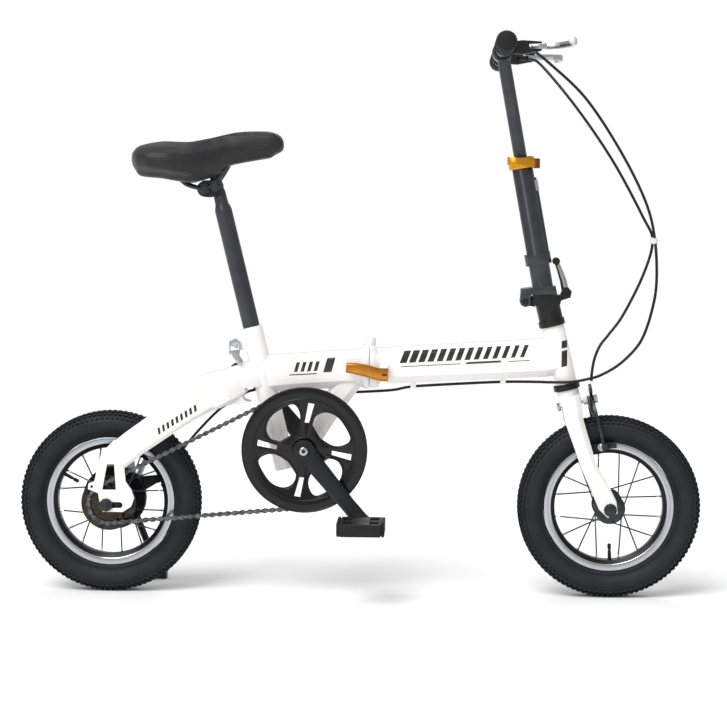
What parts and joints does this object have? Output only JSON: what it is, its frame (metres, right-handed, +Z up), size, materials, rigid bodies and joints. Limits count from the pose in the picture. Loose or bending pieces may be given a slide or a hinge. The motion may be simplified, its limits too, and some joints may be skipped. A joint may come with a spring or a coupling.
{
  "type": "folding bicycle",
  "caption": "Small-wheeled folding city bicycle with a hinged beam frame, folding telescopic handlebar post, single chain drive and kickstand",
  "frame": {"origin": "on the ground, midway between the wheels on the centre plane", "axes": "+X forward, +Y to the rider's left, +Z up"},
  "size_m": [1.142, 0.524, 0.924],
  "materials": {
    "frame_paint": "gloss",
    "black_paint": "satin",
    "grey_anodised": "satin",
    "gold_anodised": "satin",
    "amber_anodised": "gloss",
    "rim_alloy": "polished",
    "drum_alloy": "satin",
    "polished_steel": "polished",
    "dark_steel": "satin",
    "tyre_rubber": "matte",
    "gloss_black_plastic": "gloss",
    "matte_black_plastic": "matte",
    "crank_metal": "matte",
    "grip_rubber": "matte",
    "saddle_vinyl": "satin",
    "saddle_shell": "matte",
    "cable_sleeve": "satin"
  },
  "bodies": {
    "rear_frame": {"main_tube_rear": "frame_paint", "seat_tube": "frame_paint", "down_strut": "frame_paint", "rear_yoke": "frame_paint", "rear_arm_right": "frame_paint", "rear_arm_left": "frame_paint", "rear_axle": "dark_steel", "band_brake_cover": "drum_alloy", "chain": "dark_steel", "cable_rear_end": "cable_sleeve", "seat_skewer": "polished_steel"},
    "rear_wheel": {"tyre_rear": "tyre_rubber", "rim_rear": "rim_alloy", "valve_rear": "matte_black_plastic", "hub_rear": "drum_alloy"},
    "freewheel": {"sprocket": "dark_steel"},
    "crankset": {"chainring": "dark_steel", "chain_guard": "gloss_black_plastic", "crank_right": "crank_metal", "crank_left": "crank_metal", "crank_spindle": "dark_steel"},
    "right_pedal": {"pedal_right": "matte_black_plastic"},
    "left_pedal": {"pedal_left": "matte_black_plastic"},
    "kickstand_leg": {"kickstand": "black_paint"},
    "seat_lever": {"seat_clamp_lever": "polished_steel"},
    "seat": {"seatpost": "grey_anodised", "saddle_rails": "black_paint", "saddle_base": "saddle_shell", "saddle_cushion": "saddle_vinyl"},
    "band_arm": {"band_brake_arm": "polished_steel"},
    "front_frame": {"main_tube_front": "frame_paint", "head_tube": "frame_paint", "headset_lower": "black_paint", "cable_rear_frame": "cable_sleeve"},
    "main_latch": {"main_latch_lever": "gold_anodised"},
    "steering": {"fork": "frame_paint", "stem_base": "black_paint", "front_axle": "dark_steel", "cable_front_lower": "cable_sleeve", "cable_rear_lower": "cable_sleeve"},
    "front_wheel": {"tyre_front": "tyre_rubber", "rim_front": "rim_alloy", "valve_front": "matte_black_plastic", "hub_front": "drum_alloy"},
    "caliper_right": {"caliper_arm_right": "black_paint"},
    "caliper_left": {"caliper_arm_left": "black_paint"},
    "stem_catch": {"stem_latch": "polished_steel"},
    "post": {"lower_post": "grey_anodised", "post_clamp": "amber_anodised"},
    "post_lever": {"post_clamp_lever": "amber_anodised"},
    "handlebars": {"upper_post": "grey_anodised", "handlebar": "grey_anodised", "grip_right": "grip_rubber", "grip_left": "grip_rubber", "lever_bracket_right": "crank_metal", "lever_bracket_left": "crank_metal", "cable_front_upper": "cable_sleeve", "cable_rear_upper": "cable_sleeve"},
    "lever_right": {"brake_lever_right": "rim_alloy"},
    "lever_left": {"brake_lever_left": "rim_alloy"}
  },
  "joints": [
    {"name": "rear_wheel_spin", "type": "hinge", "parent": "rear_frame", "child": "rear_wheel", "pos_m": [-0.4185, 0, 0.1525], "axis": [0, 1, 0], "continuous": true},
    {"name": "crank_spin", "type": "hinge", "parent": "rear_frame", "child": "crankset", "pos_m": [-0.089, 0, 0.247], "axis": [0, 1, 0], "continuous": true},
    {"name": "sprocket_spin", "type": "hinge", "parent": "rear_frame", "child": "freewheel", "pos_m": [-0.4185, 0, 0.1525], "axis": [0, 1, 0], "continuous": true},
    {"name": "right_pedal_spin", "type": "hinge", "parent": "crankset", "child": "right_pedal", "pos_m": [0.0087, -0.121, 0.13056], "axis": [0, 1, 0], "continuous": true},
    {"name": "left_pedal_spin", "type": "hinge", "parent": "crankset", "child": "left_pedal", "pos_m": [-0.1867, 0.121, 0.36344], "axis": [0, 1, 0], "continuous": true},
    {"name": "kickstand_swing", "type": "hinge", "parent": "rear_frame", "child": "kickstand_leg", "pos_m": [-0.396, 0.07, 0.14], "axis": [0, 1, 0], "range_deg": [0, 100]},
    {"name": "seat_lever_flip", "type": "hinge", "parent": "rear_frame", "child": "seat_lever", "pos_m": [-0.209, -0.0145, 0.423], "axis": [-1, 0, 0], "range_deg": [0, 165]},
    {"name": "seat_height", "type": "slide", "parent": "rear_frame", "child": "seat", "axis": [-0.2368, 0, 0.9716], "range_m": [-0.19, 0.03]},
    {"name": "band_arm_pull", "type": "hinge", "parent": "rear_frame", "child": "band_arm", "pos_m": [-0.386, 0.0515, 0.172], "axis": [0, 1, 0], "range_deg": [0, 12.5]},
    {"name": "main_fold", "type": "hinge", "parent": "rear_frame", "child": "front_frame", "pos_m": [0.017, 0.036, 0.382], "axis": [0, 0, 1], "range_deg": [0, 145], "deforming": ["cable_rear_end"]},
    {"name": "main_latch_turn", "type": "hinge", "parent": "front_frame", "child": "main_latch", "pos_m": [0.042, -0.032, 0.372], "axis": [0, 0, 1], "range_deg": [0, 150]},
    {"name": "steering_turn", "type": "hinge", "parent": "front_frame", "child": "steering", "pos_m": [0.3449, 0, 0.358], "axis": [-0.2378, 0, 0.9713], "range_deg": [-75, 75], "deforming": ["cable_rear_frame", "cable_rear_lower"]},
    {"name": "front_wheel_spin", "type": "hinge", "parent": "steering", "child": "front_wheel", "pos_m": [0.4185, 0, 0.1525], "axis": [0, 1, 0], "continuous": true},
    {"name": "caliper_right_pinch", "type": "hinge", "parent": "steering", "child": "caliper_right", "pos_m": [0.386, 0, 0.3307], "axis": [0.9713, 0, 0.2378], "range_deg": [0, 1.3]},
    {"name": "caliper_left_pinch", "type": "hinge", "parent": "steering", "child": "caliper_left", "pos_m": [0.386, 0, 0.3307], "axis": [-0.9713, 0, -0.2378], "range_deg": [0, 1.3]},
    {"name": "stem_latch_swing", "type": "hinge", "parent": "steering", "child": "stem_catch", "pos_m": [0.343, 0, 0.511], "axis": [0, 1, 0], "range_deg": [0, 110]},
    {"name": "stem_fold", "type": "hinge", "parent": "steering", "child": "post", "pos_m": [0.2754, 0, 0.4951], "axis": [0, -1, 0], "range_deg": [0, 90], "deforming": ["cable_front_lower", "cable_front_upper", "cable_rear_upper"]},
    {"name": "post_lever_swing", "type": "hinge", "parent": "post", "child": "post_lever", "pos_m": [0.291, -0.0136, 0.723], "axis": [0, 0, 1], "range_deg": [0, 140]},
    {"name": "bar_height", "type": "slide", "parent": "post", "child": "handlebars", "axis": [-0.1814, 0, 0.9834], "range_m": [-0.12, 0]},
    {"name": "lever_right_squeeze", "type": "hinge", "parent": "handlebars", "child": "lever_right", "pos_m": [0.284, -0.134, 0.906], "axis": [0, 0, -1], "range_deg": [0, 25], "stiffness_Nm_per_rad": 1.5},
    {"name": "lever_left_squeeze", "type": "hinge", "parent": "handlebars", "child": "lever_left", "pos_m": [0.284, 0.134, 0.906], "axis": [0, 0, 1], "range_deg": [0, 25], "stiffness_Nm_per_rad": 1.5}
  ],
  "couplings": [
    {"joint": "sprocket_spin", "follows": "crank_spin", "ratio": 3},
    {"joint": "band_arm_pull", "follows": "lever_right_squeeze", "ratio": 0.5},
    {"joint": "caliper_right_pinch", "follows": "lever_left_squeeze", "ratio": 0.05},
    {"joint": "caliper_left_pinch", "follows": "lever_left_squeeze", "ratio": 0.05}
  ]
}
